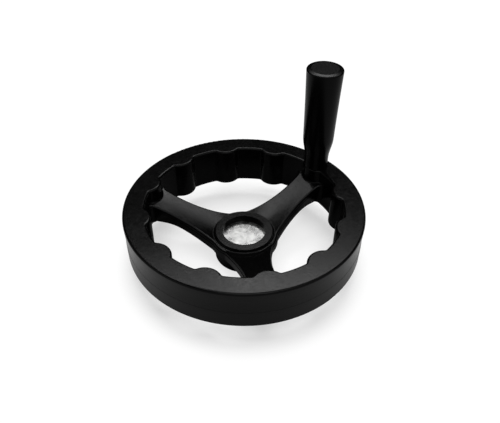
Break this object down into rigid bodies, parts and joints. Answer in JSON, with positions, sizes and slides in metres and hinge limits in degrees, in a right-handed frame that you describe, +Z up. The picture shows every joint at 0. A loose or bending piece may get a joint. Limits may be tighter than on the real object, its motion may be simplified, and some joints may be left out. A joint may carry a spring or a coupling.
{
  "type": "handwheel",
  "caption": "Spoked machine handwheel with a lobed deep rim, a steel-bushed hub and a revolving side handle.",
  "frame": {"origin": "centre of the hub's lower face, at the mouth of the shaft bore", "axes": "+Z up the shaft bore towards the operator, +X from the bore towards the spoke and rim lobe that carry the handle, +Y completes a right-handed frame"},
  "size_m": [0.1612, 0.1598, 0.1198],
  "materials": {
    "wheel_moulding": "black thermoset, semi-gloss, straight from the mould",
    "grip_moulding": "black thermoset, polished by tumbling",
    "cap_moulding": "black, fine grain",
    "turned_steel": "faced on a lathe, faint rings",
    "plated_steel": "zinc plated",
    "insert_brass": "turned"
  },
  "bodies": {
    "wheel": {"wheel_body": "wheel_moulding", "hub_bush": "turned_steel", "handle_insert": "insert_brass", "handle_spindle": "plated_steel", "head_washer": "plated_steel"},
    "grip": {"handle_grip": "grip_moulding", "handle_cap": "cap_moulding"}
  },
  "joints": [
    {"name": "grip_spin", "type": "hinge", "parent": "wheel", "child": "grip", "pos_m": [0.0691, 0, 0.0823], "axis": [0, 0, 1], "continuous": true}
  ]
}
